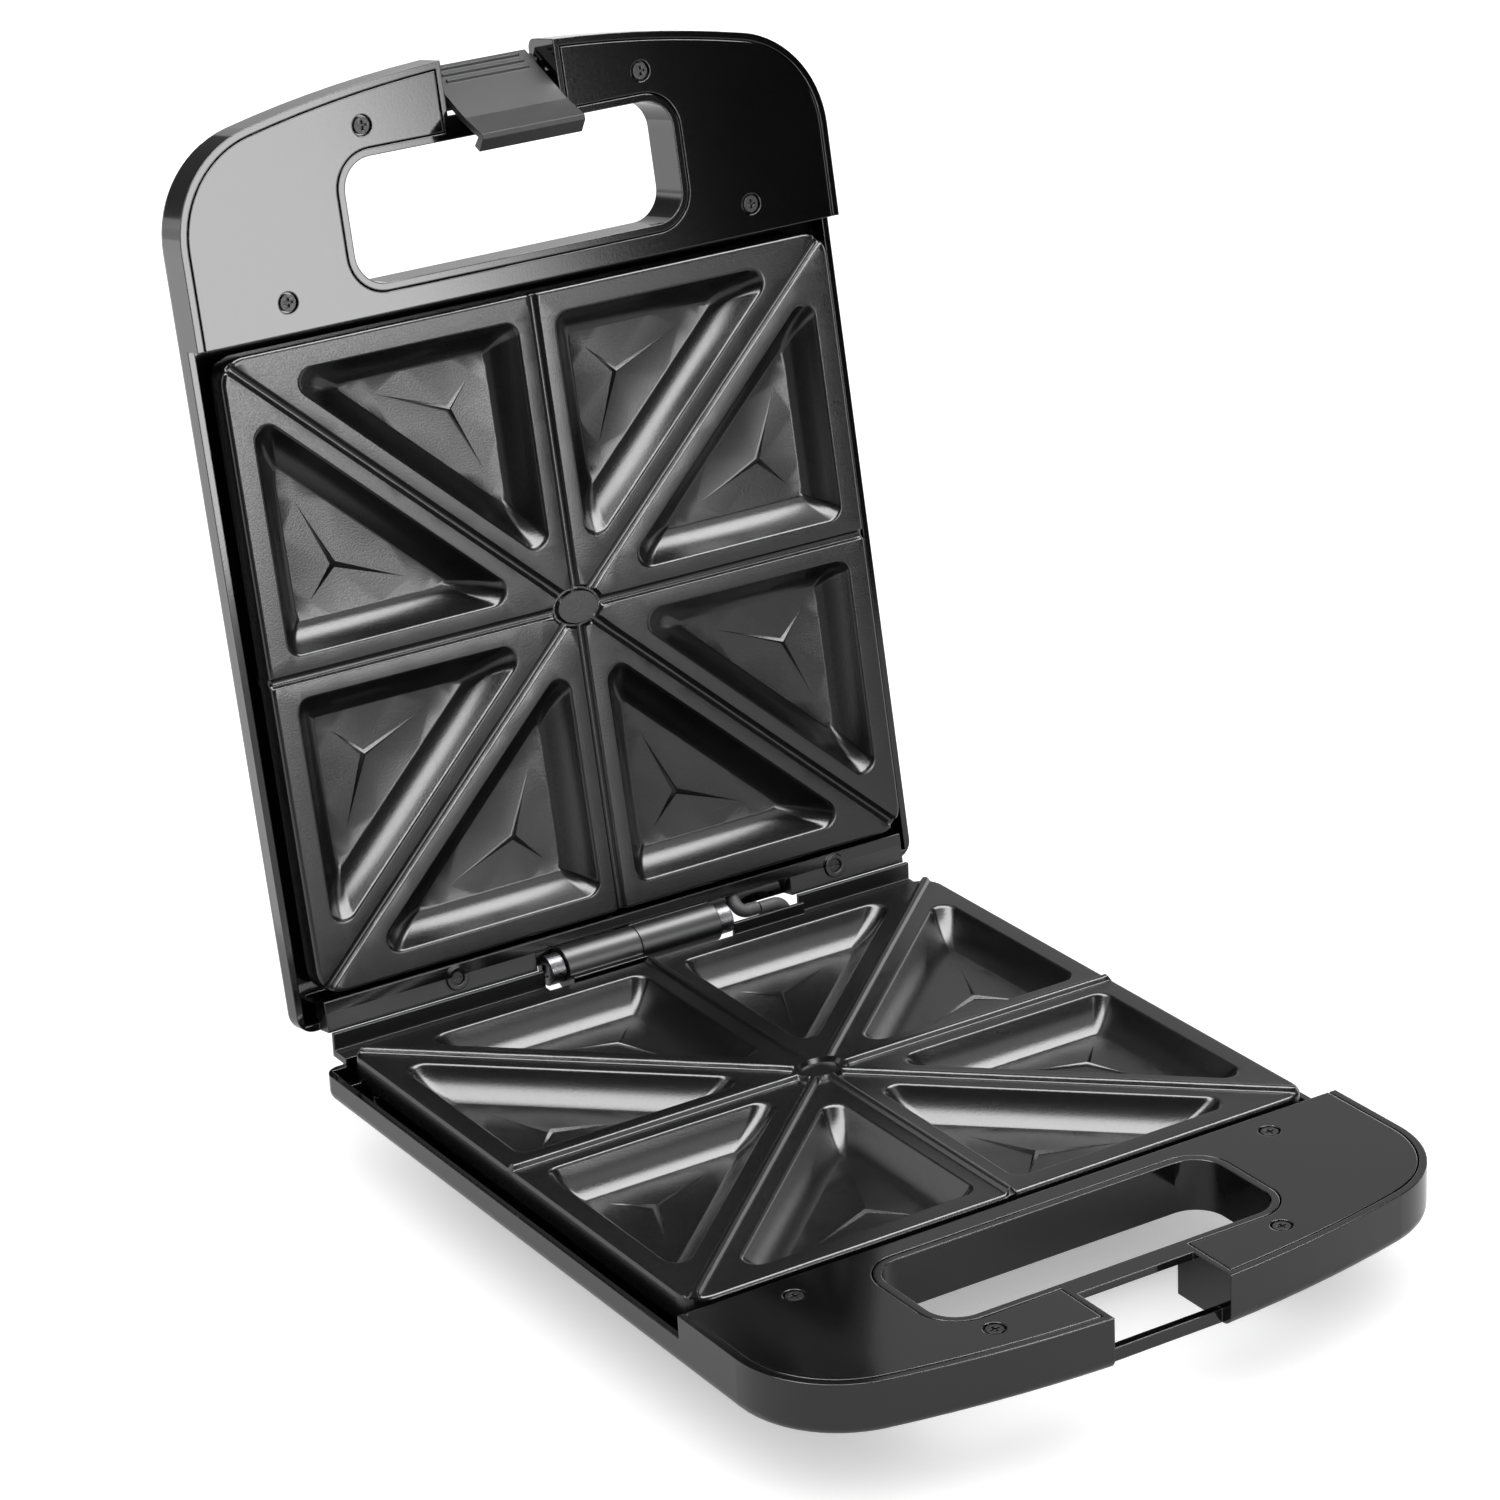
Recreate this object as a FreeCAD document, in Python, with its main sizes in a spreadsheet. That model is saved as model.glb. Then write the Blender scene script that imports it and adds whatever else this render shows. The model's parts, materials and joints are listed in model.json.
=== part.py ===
"""Sandwich toaster for four sandwiches: two moulded halves on a centre hinge, with a swinging latch.

Both halves share one set of shapes. Each is drawn in its own half frame: x across, y to the
hinge, z outward from the face where the halves meet, with the middle of the plate at x = y = 0.
The lid half is placed as drawn and then swung open about the hinge; the base half is turned
upside down about y. The row frame has z up; its origin is below the middle of the base plate,
on the surface that the feet rest on.
"""

import FreeCAD, Part
import math
import os
import re

import Sketcher

SIZES = {
    # plates
    "plate_wide": 240,
    "plate_deep": 222,
    "plate_corner": 9,
    "plate_skin": 3,
    "plate_skirt": 9,
    "spoke_half": 4,
    "rim_margin": 9,
    "pocket_deep": 10.5,
    "pocket_draft": 34,
    # casings
    "case_wide": 254,
    "case_front": 195.5,
    "case_deep": 18,
    "case_wall": 2.5,
    "bow_radius": 450,
    "front_corner": 38,
    "rear_corner": 6,
    "case_edge": 4,
    "base_rear": 116.9,
    "lid_rear": 124,
    "side_drop": 8,
    "deck_rear": 115,
    "pan_wide": 202,
    "pan_deep": 206,
    "pan_high": 20,
    "pan_draft": 38,
    "pan_corner": 16,
    "pan_edge": 9,
    "strip_drop": 1.5,
    "sill_drop": 5,
    "sill_wall": 1.4,
    "strip_half": 119,
    "strip_front": 113,
    # handle
    "hole_wide": 129,
    "hole_front": 168,
    "hole_back": 125,
    "hole_corner": 11,
    "collar_wall": 2.5,
    "groove_gap": 0.6,
    "cover_thick": 2.5,
    "notch_half": 22,
    "bar_front": 176,
    "rail_front": 190.5,
    "rail_thick": 3,
    "rail_high": 4.5,
    # deck screws
    "inner_screw_x": 54.5,
    "inner_screw_y": 178.5,
    "outer_screw_x": 91.5,
    "outer_screw_y": 125.3,
    "counterbore_radius": 3.7,
    "head_radius": 2.9,
    "head_high": 1.4,
    "shank_radius": 1.4,
    "pilot_radius": 1.5,
    "boss_radius": 4,
    # fixings inside and below
    "plate_screw_x": 111.5,
    "plate_screw_y": 102.5,
    "foot_spot": 66,
    "foot_radius": 9,
    "foot_high": 5,
    "stem_radius": 3,
    "lens_radius": 4,
    "bush_radius": 3.98,
    "bush_bore": 3.3,
    # heater
    "element_radius": 3.25,
    "element_half": 45,
    "element_bend": 22,
    "reflector_half": 80,
    "sleeve_radius": 2.4,
    # hinge
    "hinge_y": 124.25,
    "half_gap": 0.3,
    "knuckle_radius": 7,
    "pin_radius": 2.5,
    "running_gap": 0.05,
    "cap_radius": 5.4,
    # latch
    "latch_y": 187,
    "latch_z": 15,
    "latch_half": 20,
    "latch_barrel": 2.75,
    "latch_pin_radius": 1.5,
    # pose
    "lid_open": 100,
}

doc = FreeCAD.newDocument("sandwich_toaster")
sheet = doc.addObject("Spreadsheet::Sheet", "sizes")
for row, (alias, size) in enumerate(SIZES.items(), 1):
    sheet.set(f"A{row}", alias)
    sheet.set(f"B{row}", str(size))
    sheet.setAlias(f"B{row}", alias)
doc.recompute()

V = FreeCAD.Vector
WORD = re.compile(r"[a-z]+_[a-z_]+")
SUBPARTS = []


def bound(text):
    """An expression on the sheet's cells, from one written with their bare names."""
    return WORD.sub(lambda word: "sizes." + word.group(), str(text))


def value(text):
    return float(sheet.evalExpression(bound(text)))


def size(item, **texts):
    for prop, text in texts.items():
        item.setExpression(prop, bound(text))


# ---------------------------------------------------------------- sketches and features


def body(name):
    made = doc.addObject("PartDesign::Body", name)
    made.Label = name
    SUBPARTS.append(made)
    return made


def sketch(owner, role="XY_Plane", height="0"):
    plane = next(item for item in owner.Origin.OriginFeatures if item.Role == role)
    made = owner.newObject("Sketcher::SketchObject", "outline")
    made.AttachmentSupport = [(plane, "")]
    made.MapMode = "FlatFace"
    made.setExpression("AttachmentOffset.Base.z", bound(height))
    return made


def hold(made, kind, geometry, end, text):
    """One dimension of a sketch, from its origin or as a radius, bound to the sheet."""
    number = value(text)
    if kind == "Radius":
        index = made.addConstraint(Sketcher.Constraint("Radius", geometry, number))
    else:
        index = made.addConstraint(Sketcher.Constraint(kind, -1, 1, geometry, end, number))
    made.setExpression(f"Constraints[{index}]", bound(text))


def add_loop(made, corners, bows=()):
    """A closed loop through corners, pairs of expressions; bows gives a side's outward radius."""
    bows = dict(bows)
    first = made.GeometryCount
    points = [V(value(x), value(y), 0) for x, y in corners]
    count = len(points)
    for i, start in enumerate(points):
        end = points[(i + 1) % count]
        if i in bows:
            radius = value(bows[i])
            middle = (start + end) / 2
            chord = end - start
            inward = V(-chord.y, chord.x, 0).normalize()
            centre = middle + inward * math.sqrt(radius**2 - chord.Length**2 / 4)
            angles = [math.atan2(p.y - centre.y, p.x - centre.x) for p in (start, end)]
            circle = Part.Circle(centre, V(0, 0, 1), radius)
            made.addGeometry(Part.ArcOfCircle(circle, angles[0], angles[1]), False)
        else:
            made.addGeometry(Part.LineSegment(start, end), False)
    for i in range(count):
        following = first + (i + 1) % count
        made.addConstraint(Sketcher.Constraint("Coincident", first + i, 2, following, 1))
    for i, (x, y) in enumerate(corners):
        hold(made, "DistanceX", first + i, 1, x)
        hold(made, "DistanceY", first + i, 1, y)
    for i, radius in bows.items():
        hold(made, "Radius", first + i, 0, radius)
    return made


def loop(owner, corners, height="0", bows=(), role="XY_Plane"):
    return add_loop(sketch(owner, role, height), corners, bows)


def rectangle(owner, x_low, x_high, y_low, y_high, height="0", role="XY_Plane"):
    corners = [(x_low, y_low), (x_high, y_low), (x_high, y_high), (x_low, y_high)]
    return loop(owner, corners, height, role=role)


def circles(owner, spots, radius, height="0", role="XY_Plane"):
    made = sketch(owner, role, height)
    for i, (x, y) in enumerate(spots):
        circle = Part.Circle(V(value(x), value(y), 0), V(0, 0, 1), value(radius))
        made.addGeometry(circle, False)
        hold(made, "DistanceX", i, 3, x)
        hold(made, "DistanceY", i, 3, y)
        hold(made, "Radius", i, 3, radius)
    return made


def round_rectangle(owner, half_x, y_low, y_high, radius, height="0"):
    """A rectangle centred on x = 0 with four round corners."""
    x, edge = f"({half_x})", f"({half_x} - ({radius}))"
    low, high = f"({y_low})", f"({y_high})"
    corners = [
        (f"-{x}", f"{high} - ({radius})"), (f"-{x}", f"{low} + ({radius})"),
        (f"-{edge}", low), (edge, low),
        (x, f"{low} + ({radius})"), (x, f"{high} - ({radius})"),
        (edge, high), (f"-{edge}", high),
    ]
    return loop(owner, corners, height, {1: radius, 3: radius, 5: radius, 7: radius})


def feature(owner, kind, profile, length, reverse=False, taper=None):
    made = owner.newObject("PartDesign::" + kind, kind.lower())
    made.Profile = profile
    made.Reversed = reverse
    size(made, Length=length)
    if taper:
        size(made, TaperAngle=taper)
    profile.Visibility = False
    return made


def pad(owner, profile, length, taper=None):
    """Adds material outward, along +z."""
    return feature(owner, "Pad", profile, length, taper=taper)


def pocket(owner, profile, length, taper=None):
    """Cuts outward, along +z, and makes sure that it took something away."""
    doc.recompute()
    for item in owner.Group:
        if {"Invalid", "Error"} & set(item.State):
            raise RuntimeError(f"{owner.Label}: {item.Name} failed before this cut")
    before = owner.Shape.Volume
    made = feature(owner, "Pocket", profile, length, reverse=True, taper=taper)
    doc.recompute()
    if owner.Shape.Volume > before - 0.01:
        raise RuntimeError(f"{owner.Label}: {made.Name} cuts nothing")
    return made


def fillet(owner, radius, wanted):
    """Rounds every edge of the body's last feature for which wanted(edge) is true."""
    doc.recompute()
    tip = owner.Tip
    names = [f"Edge{i}" for i, edge in enumerate(tip.Shape.Edges, 1) if wanted(edge)]
    if not names:
        raise RuntimeError(f"{owner.Label}: no edge to round after {tip.Name}")
    made = owner.newObject("PartDesign::Fillet", "fillet")
    made.Base = (tip, names)
    size(made, Radius=radius)
    return made


def upright_near(spots, reach=2.0):
    """A test for the upright edges that stand at any of the given x, y places."""
    places = [(value(x), value(y)) for x, y in spots]

    def wanted(edge):
        box = edge.BoundBox
        if box.ZLength < 1 or max(box.XLength, box.YLength) > 0.01:
            return False
        return any(math.hypot(box.XMin - x, box.YMin - y) < reach for x, y in places)

    return wanted


def flat_at(height):
    """A test for the edges that lie in the plane z = height."""
    level = value(height)

    def wanted(edge):
        box = edge.BoundBox
        return box.ZLength < 0.01 and abs(box.ZMin - level) < 0.01

    return wanted


# ---------------------------------------------------------------- places

MEET_Z = value("case_deep + pan_high + foot_high")
AXIS_Y = value("hinge_y")
AXIS_Z = MEET_Z + value("half_gap")
BASE = FreeCAD.Placement(V(0, 0, MEET_Z), FreeCAD.Rotation(V(0, 1, 0), 180))
LID_SHUT = FreeCAD.Placement(V(0, 0, MEET_Z + 2 * value("half_gap")), FreeCAD.Rotation())
SWING = FreeCAD.Rotation(V(1, 0, 0), -value("lid_open"))
LID = FreeCAD.Placement(V(0, 0, 0), SWING, V(0, AXIS_Y, AXIS_Z)) * LID_SHUT
PLACES = {"base": BASE, "lid": LID}


def mirrored(spots):
    """The given places and the same ones on the other side of x = 0."""
    return [(f"{sign}({x})", y) for x, y in spots for sign in ("", "-")]


COVER_SCREWS = mirrored(
    [("inner_screw_x", "-inner_screw_y"), ("outer_screw_x", "-outer_screw_y")]
)
PLATE_SCREWS = mirrored(
    [("plate_screw_x", "plate_screw_y"), ("plate_screw_x", "-plate_screw_y")]
)
FEET = mirrored([("foot_spot", "foot_spot"), ("foot_spot", "-foot_spot")])
CORD_SPOT = [("90", "12.8")]
LEAD_SPOT = [("-66", "13")]
LAMPS = [("-14", "-70"), ("14", "-70")]
STRIP_SCREWS = [("-67.6", "118"), ("89.7", "117.6")]


def outline(owner, inset, rear, height="0"):
    """The casing's outline moved in by inset: a bowed front that turns into the straight sides."""
    half = f"(case_wide / 2 - {inset})"
    bow = f"(bow_radius - {inset})"
    corner = f"(front_corner - {inset})"
    middle_y = "(bow_radius - case_front)"
    # the corner's centre, inside the bow by the corner's radius, and where the two arcs meet
    centre_x, reach = f"({half} - {corner})", f"({bow} - {corner})"
    drop = f"sqrt({reach}^2 - {centre_x}^2)"
    side_y = f"{middle_y} - {drop}"
    meet_x = f"({centre_x} * {bow} / {reach})"
    meet_y = f"{middle_y} - {drop} * {bow} / {reach}"
    corners = [
        (f"-{half}", rear), (f"-{half}", side_y), (f"-{meet_x}", meet_y),
        (meet_x, meet_y), (half, side_y), (half, rear),
    ]
    return loop(owner, corners, height, {1: corner, 2: bow, 3: corner})


# ---------------------------------------------------------------- casings


def casing(side, rear, knuckle, recesses):
    """One moulded half: tray, pan, handle with its through hole and notch, and hinge knuckle."""
    shell = body(f"{side}_shell")
    pad(shell, outline(shell, "0", rear), "case_deep")
    fillet(shell, "rear_corner", upright_near(mirrored([("case_wide / 2", rear)])))
    fillet(shell, "case_edge", flat_at("case_deep"))
    half_x, half_y = "pan_wide / 2", "pan_deep / 2"
    pan = round_rectangle(shell, half_x, f"-{half_y}", half_y, "pan_corner", "case_deep")
    pad(shell, pan, "pan_high", "-pan_draft")
    fillet(shell, "pan_edge", flat_at("case_deep + pan_high"))

    # hollow, one wall thick all over
    floor = "case_deep - case_wall"
    pocket(shell, outline(shell, "case_wall", f"{rear} - case_wall"), floor)
    inner_x, inner_y = f"({half_x} - case_wall)", f"({half_y} - case_wall)"
    inner_corner = "pan_corner - case_wall"
    hollow = round_rectangle(shell, inner_x, f"-{inner_y}", inner_y, inner_corner, floor)
    pocket(shell, hollow, "pan_high", "-pan_draft")

    # the walls beside and behind the plate stand lower than the handle's deck
    beside = rectangle(shell, "-case_wide", "case_wide", "-deck_rear", "2 * deck_rear")
    pocket(shell, beside, "side_drop")
    edge = "(case_wide / 2 - case_wall + 0.1)"
    partition = rectangle(shell, f"-{edge}", edge, "-deck_rear - 2", "-deck_rear", "cover_thick")
    pad(shell, partition, f"{floor} - cover_thick")
    if side == "lid":
        rear_strip(shell)
    else:
        rear_sill(shell)
    handle(shell, side)
    bosses(shell, side)
    hinge_half(shell, rear, knuckle, recesses)
    return shell


def rear_strip(shell):
    """A closed ledge behind the lid's plate, which carries the hinge and two screws."""
    front, back = "strip_front", "lid_rear"

    def rib(x_low, x_high, y_low, y_high, high):
        pad(shell, rectangle(shell, x_low, x_high, y_low, y_high, "strip_drop"), high)

    rib("-strip_half", "strip_half", front, back, "case_wall")
    rib("-strip_half", "strip_half", front, f"{front} + 1.8", "case_deep - case_wall - strip_drop")
    rib("-strip_half", "strip_half", f"{back} - case_wall", back, "side_drop")
    rib("-strip_half", "-strip_half + case_wall", front, back, "side_drop")
    rib("strip_half - case_wall", "strip_half", front, back, "side_drop")
    # the solid part that the hinge's barrels are scooped out of
    rib("-36.5", "71", f"{front} + 0.5", back, "14")
    pad(shell, circles(shell, STRIP_SCREWS, "boss_radius + 0.2", "strip_drop - 1"), "12")
    pocket(shell, circles(shell, STRIP_SCREWS, "2.5", "strip_drop - 1"), "1.6")
    pocket(shell, circles(shell, STRIP_SCREWS, "pilot_radius", "strip_drop"), "9")


def rear_sill(shell):
    """A step behind the base's plate, whose upstand closes the gap below the lid's ledge."""
    front = "base_rear - case_wall"
    # the upstand is lower and further in beside the hinge, where the heater's lead crosses
    for x_low, x_high, inset, top in (
        ("-strip_half", "-71", "0.35", "-1.2"),
        ("-71.5", "-41.6", "3.05", "0.8"),
        ("35.2", "strip_half", "0.35", "-1.2"),
    ):
        back = f"hinge_y - {inset}"
        wall = rectangle(shell, x_low, x_high, front, "base_rear", "sill_drop")
        pad(shell, wall, "side_drop - sill_drop + 1")
        step = rectangle(shell, x_low, x_high, front, back, "sill_drop")
        pad(shell, step, "case_wall")
        upstand = rectangle(shell, x_low, x_high, f"{back} - sill_wall", back, top)
        pad(shell, upstand, f"sill_drop + 1 - ({top})")


def finger_hole(owner, grow):
    """The outline of the hole in the handle, or of what goes round it, grown by grow."""
    return round_rectangle(
        owner,
        f"hole_wide / 2 + {grow}",
        f"-hole_front - ({grow})",
        f"-hole_back + {grow}",
        f"hole_corner + {grow}",
    )


def handle(shell, side):
    """The grip: a collar round the finger hole, and a notch in front where the latch works."""
    floor = "case_deep - case_wall"
    front = "-hole_front"
    pad(shell, finger_hole(shell, "collar_wall"), floor)
    for sign in ("-", ""):
        edges = sorted((f"{sign}notch_half", f"{sign}(notch_half + 2)"), key=value)
        cheek = rectangle(shell, *edges, "-case_front + 1.4", f"{front} - 1")
        pad(shell, cheek, floor)
    bar = rectangle(shell, "-notch_half - 1", "notch_half + 1", "-bar_front", front)
    pad(shell, bar, "cover_thick")
    pocket(shell, finger_hole(shell, "0"), "2 * case_deep")
    mouth = rectangle(shell, "-notch_half", "notch_half", "-case_front - 5", "-bar_front")
    pocket(shell, mouth, "case_deep")
    under = rectangle(
        shell, "-notch_half", "notch_half", "-case_front - 5", f"{front} + 5", "cover_thick"
    )
    pocket(shell, under, "case_deep")
    if side == "base":
        rail = rectangle(
            shell,
            "-notch_half - 1",
            "notch_half + 1",
            "-rail_front",
            "-rail_front + rail_thick",
            "case_deep - rail_high",
        )
        pad(shell, rail, "rail_high")


def bosses(shell, side):
    """Bosses for the cover's screws, posts for the plate's screws, and the openings in the tray."""
    floor = "case_deep - case_wall"
    pad(shell, circles(shell, COVER_SCREWS, "boss_radius", "cover_thick"), f"{floor} - cover_thick")
    pocket(shell, circles(shell, COVER_SCREWS, "pilot_radius", "cover_thick"), "11")
    pad(shell, circles(shell, PLATE_SCREWS, "boss_radius", "plate_skirt + 1"), "7")
    pocket(shell, circles(shell, PLATE_SCREWS, "shank_radius + 0.2", "plate_skirt"), "20")
    pocket(shell, circles(shell, PLATE_SCREWS, "head_radius + 0.4", "case_deep - 2"), "5")
    if side == "base":
        bottom = "case_deep + pan_high - case_wall"
        pocket(shell, circles(shell, FEET, "stem_radius + 0.1", f"{bottom} - 1"), "5")
        behind = "-base_rear - 2"
        bush = circles(shell, CORD_SPOT, "bush_radius + 0.07", behind, "XZ_Plane")
        lead = circles(shell, LEAD_SPOT, "sleeve_radius + 0.3", behind, "XZ_Plane")
        for profile in (bush, lead):
            pocket(shell, profile, "8")
    else:
        top = "case_deep + pan_high - case_wall"
        pocket(shell, circles(shell, LAMPS, "lens_radius + 0.1", f"{top} - 1"), "5")
        for sign in ("-", ""):
            edges = sorted((f"{sign}(notch_half + 1)", f"{sign}(notch_half + 6)"), key=value)
            block = rectangle(shell, *edges, "-latch_y - 3", "-latch_y + 3", "latch_z - 3.6")
            pad(shell, block, "5.5")
        hole = circles(shell, [("-latch_y", "latch_z")], "latch_pin_radius + 0.05", role="YZ_Plane")
        cut = pocket(shell, hole, "2 * notch_half + 9")
        cut.Midplane = True


def hinge_half(shell, rear, knuckle, recesses):
    """The knuckle on the hinge axis, with its bore, and room for what else lies on that axis."""
    for low, high in recesses:
        room = circles(shell, [("hinge_y", "-half_gap")], "knuckle_radius + 0.5", low, "YZ_Plane")
        pocket(shell, room, f"({high}) - ({low})")
    low, high = knuckle
    long = f"({high}) - ({low})"
    web = loop(
        shell,
        [(f"{rear} - case_wall", "0.4"), ("hinge_y", "0.4"), ("hinge_y + 4", "5"),
         (f"{rear} - case_wall", "13")],
        low,
        role="YZ_Plane",
    )
    pad(shell, web, long)
    barrel = circles(shell, [("hinge_y", "-half_gap")], "knuckle_radius", low, "YZ_Plane")
    pad(shell, barrel, long)
    bore = circles(
        shell, [("hinge_y", "-half_gap")], "pin_radius + running_gap", f"({low}) - 1", "YZ_Plane"
    )
    pocket(shell, bore, f"{long} + 2")


# ---------------------------------------------------------------- handle cover and screws


def handle_cover(side):
    """The flat deck of the grip, one groove inside the casing's rim and round the collar."""
    cover = body(f"{side}_handle_cover")
    pad(cover, outline(cover, "(case_wall + groove_gap)", "-deck_rear"), "cover_thick - 0.05")
    gap = "(collar_wall + groove_gap)"
    pocket(cover, finger_hole(cover, gap), "cover_thick")
    edge = "notch_half + 2 + groove_gap"
    mouth = rectangle(cover, f"-({edge})", edge, "-case_front", f"-hole_front - {gap} + 1")
    pocket(cover, mouth, "cover_thick")
    pocket(cover, circles(cover, COVER_SCREWS, "counterbore_radius"), "head_high + 0.2")
    pocket(cover, circles(cover, COVER_SCREWS, "shank_radius + 0.3"), "cover_thick")
    return cover


def screws(name, spots, top, shank, outward=True):
    """Pan-head screws with a cross recess, heads at height top; one solid for each place."""
    group = body(name)
    head_low = top if outward else f"{top} - head_high"
    pad(group, circles(group, spots, "head_radius", head_low), "head_high")
    start = f"{top} + head_high" if outward else f"{top} - head_high - {shank}"
    pad(group, circles(group, spots, "shank_radius", start), shank)
    cut_low = top if outward else f"{top} - 0.8"
    slots = ((1.7, 0.4), (0.4, 1.7))
    for across, along in slots:
        made = sketch(group, height=cut_low)
        for x, y in spots:
            corners = [
                (f"{x} - {across}", f"{y} - {along}"),
                (f"{x} + {across}", f"{y} - {along}"),
                (f"{x} + {across}", f"{y} + {along}"),
                (f"{x} - {across}", f"{y} + {along}"),
            ]
            add_loop(made, corners)
        pocket(group, made, "0.8")
    return group


# ---------------------------------------------------------------- plates


def sectors(made, spoke, margin):
    """Eight right triangles between the cross and the diagonals of the plate."""
    slope = "plate_deep / plate_wide"
    lean = f"{spoke} * sqrt(1 + ({slope})^2)"
    far_x = f"plate_wide / 2 - {margin}"
    far_y = f"plate_deep / 2 - {margin}"
    flat = [
        (f"({spoke} + {lean}) / ({slope})", spoke),
        (far_x, spoke),
        (far_x, f"({far_x}) * {slope} - {lean}"),
    ]
    tall = [
        (spoke, f"{spoke} * {slope} + {lean}"),
        (spoke, far_y),
        (f"({far_y} - {lean}) / ({slope})", far_y),
    ]
    for triangle in (flat, tall):
        for sign_x in ("", "-"):
            for sign_y in ("", "-"):
                add_loop(made, [(f"{sign_x}({x})", f"{sign_y}({y})") for x, y in triangle])
    return made


def plate(side):
    """A pressed aluminium plate: eight triangular pockets, a flat rim and a turned-down skirt."""
    made = body(f"{side}_plate")
    half_x, half_y = "plate_wide / 2", "plate_deep / 2"
    pad(made, round_rectangle(made, half_x, f"-{half_y}", half_y, "plate_corner"), "plate_skirt")
    in_x, in_y = f"{half_x} - plate_skin", f"({half_y} - plate_skin)"
    in_corner = "plate_corner - plate_skin"
    inside = round_rectangle(made, in_x, f"-{in_y}", in_y, in_corner, "plate_skin")
    pocket(made, inside, "plate_skirt")
    cups = sectors(sketch(made, height="plate_skin"), "(spoke_half - 2)", "(rim_margin - 2.4)")
    pad(made, cups, "pocket_deep", "-pocket_draft + 4")
    wells = sectors(sketch(made), "spoke_half", "rim_margin")
    pocket(made, wells, "pocket_deep", "-pocket_draft")
    lugs = circles(made, PLATE_SCREWS, "boss_radius", "plate_skin - 1")
    pad(made, lugs, "plate_skirt - plate_skin + 1.8")
    pocket(made, circles(made, PLATE_SCREWS, "pilot_radius", "plate_skin"), "plate_skirt")
    return made


# ---------------------------------------------------------------- inside the halves


def tube(name, points, radius, bend, place):
    """A round bar along straight runs with equal bends, fixed in the given place."""
    points = [V(*point) for point in points]
    edges = []
    start = points[0]
    for before, corner, after in zip(points, points[1:], points[2:]):
        arrive, leave = (corner - before).normalize(), (after - corner).normalize()
        turn = arrive.getAngle(leave)
        back = bend * math.tan(turn / 2)
        enter, exit_ = corner - arrive * back, corner + leave * back
        inward = (leave - arrive).normalize()
        centre = corner + inward * (bend / math.cos(turn / 2))
        middle = centre - inward * bend
        if (enter - start).Length > 0.01:
            edges.append(Part.LineSegment(start, enter).toShape())
        edges.append(Part.Arc(enter, middle, exit_).toShape())
        start = exit_
    edges.append(Part.LineSegment(start, points[-1]).toShape())
    path = Part.Wire(edges)
    first = points[1] - points[0]
    circle = Part.Wire(Part.Circle(points[0], first, radius).toShape())
    swept = path.makePipeShell([circle], True, False)
    expected = math.pi * radius**2 * path.Length
    if abs(swept.Volume - expected) > 0.03 * expected:
        raise RuntimeError(f"{name}: the tube's volume is {swept.Volume:.0f}, not {expected:.0f}")
    made = doc.addObject("Part::Feature", name)
    made.Label = name
    made.Shape = swept
    made.Placement = place
    return made


def heating_element(side):
    """A U of sheathed tube that lies on the backs of the pockets, with its ends to the rear."""
    level = value("pocket_deep + plate_skin + element_radius + 0.1")
    half = value("element_half")
    path = [(-half, 88, level), (-half, -68, level), (half, -68, level), (half, 88, level)]
    radius, bend = value("element_radius"), value("element_bend")
    made = tube(f"{side}_heating_element", path, radius, bend, PLACES[side])
    SUBPARTS.append(made)


def heater_clamps(side):
    """Two steel straps over the element, each with feet on the pockets' backs."""
    made = body(f"{side}_heater_clamps")
    low = "pocket_deep + plate_skin + 0.1"
    for centre in ("-30", "40"):
        strap = loop(
            made,
            [("-60", low), ("-50.2", low), ("-50.2", f"{low} + 6.8"), ("50.2", f"{low} + 6.8"),
             ("50.2", low), ("60", low), ("60", f"{low} + 1"), ("51.2", f"{low} + 1"),
             ("51.2", f"{low} + 7.8"), ("-51.2", f"{low} + 7.8"), ("-51.2", f"{low} + 1"),
             ("-60", f"{low} + 1")],
            f"-({centre}) - 5",
            role="XZ_Plane",
        )
        pad(made, strap, "10")
    return made


def reflector(side):
    """A bright tray behind the element, with a turned lip and a window for the thermostat."""
    made = body(f"{side}_reflector")
    low = "pocket_deep + plate_skin + 8.2"
    half, thick = "reflector_half", "0.8"
    tray = round_rectangle(made, half, f"-{half} - 2", f"{half} + 2", "8", low)
    pad(made, tray, "4")
    inside = f"{half} + 2 - {thick}"
    well = round_rectangle(
        made, f"{half} - {thick}", f"-({inside})", inside, f"8 - {thick}", f"{low} + {thick}"
    )
    pocket(made, well, "4")
    pocket(made, circles(made, [("0", "0")], "11", f"{low} - 1"), "3")
    return made


def thermostat(side):
    """A round bimetal switch with two tags, pressed on the back of the plate's centre."""
    made = body(f"{side}_thermostat")
    low = "pocket_deep + plate_skin + 0.1"
    pad(made, circles(made, [("0", "0")], "8", low), "3")
    pad(made, circles(made, [("0", "0")], "9.5", f"{low} + 3"), "6")
    tags = sketch(made, height=f"{low} + 9")
    for x in (-5, 5):
        add_loop(tags, [(x - 0.4, -3), (x + 0.4, -3), (x + 0.4, 3), (x - 0.4, 3)])
    pad(made, tags, "6")
    return made


def thermal_fuse(side):
    """A cylindrical cut-out with a lead at each end, lying over the reflector."""
    made = body(f"{side}_thermal_fuse")
    spot = [("-30", "27.5")]
    pad(made, circles(made, spot, "2.2", "20", "XZ_Plane"), "12")
    pad(made, circles(made, spot, "0.6", "14", "XZ_Plane"), "24")
    return made


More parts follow.
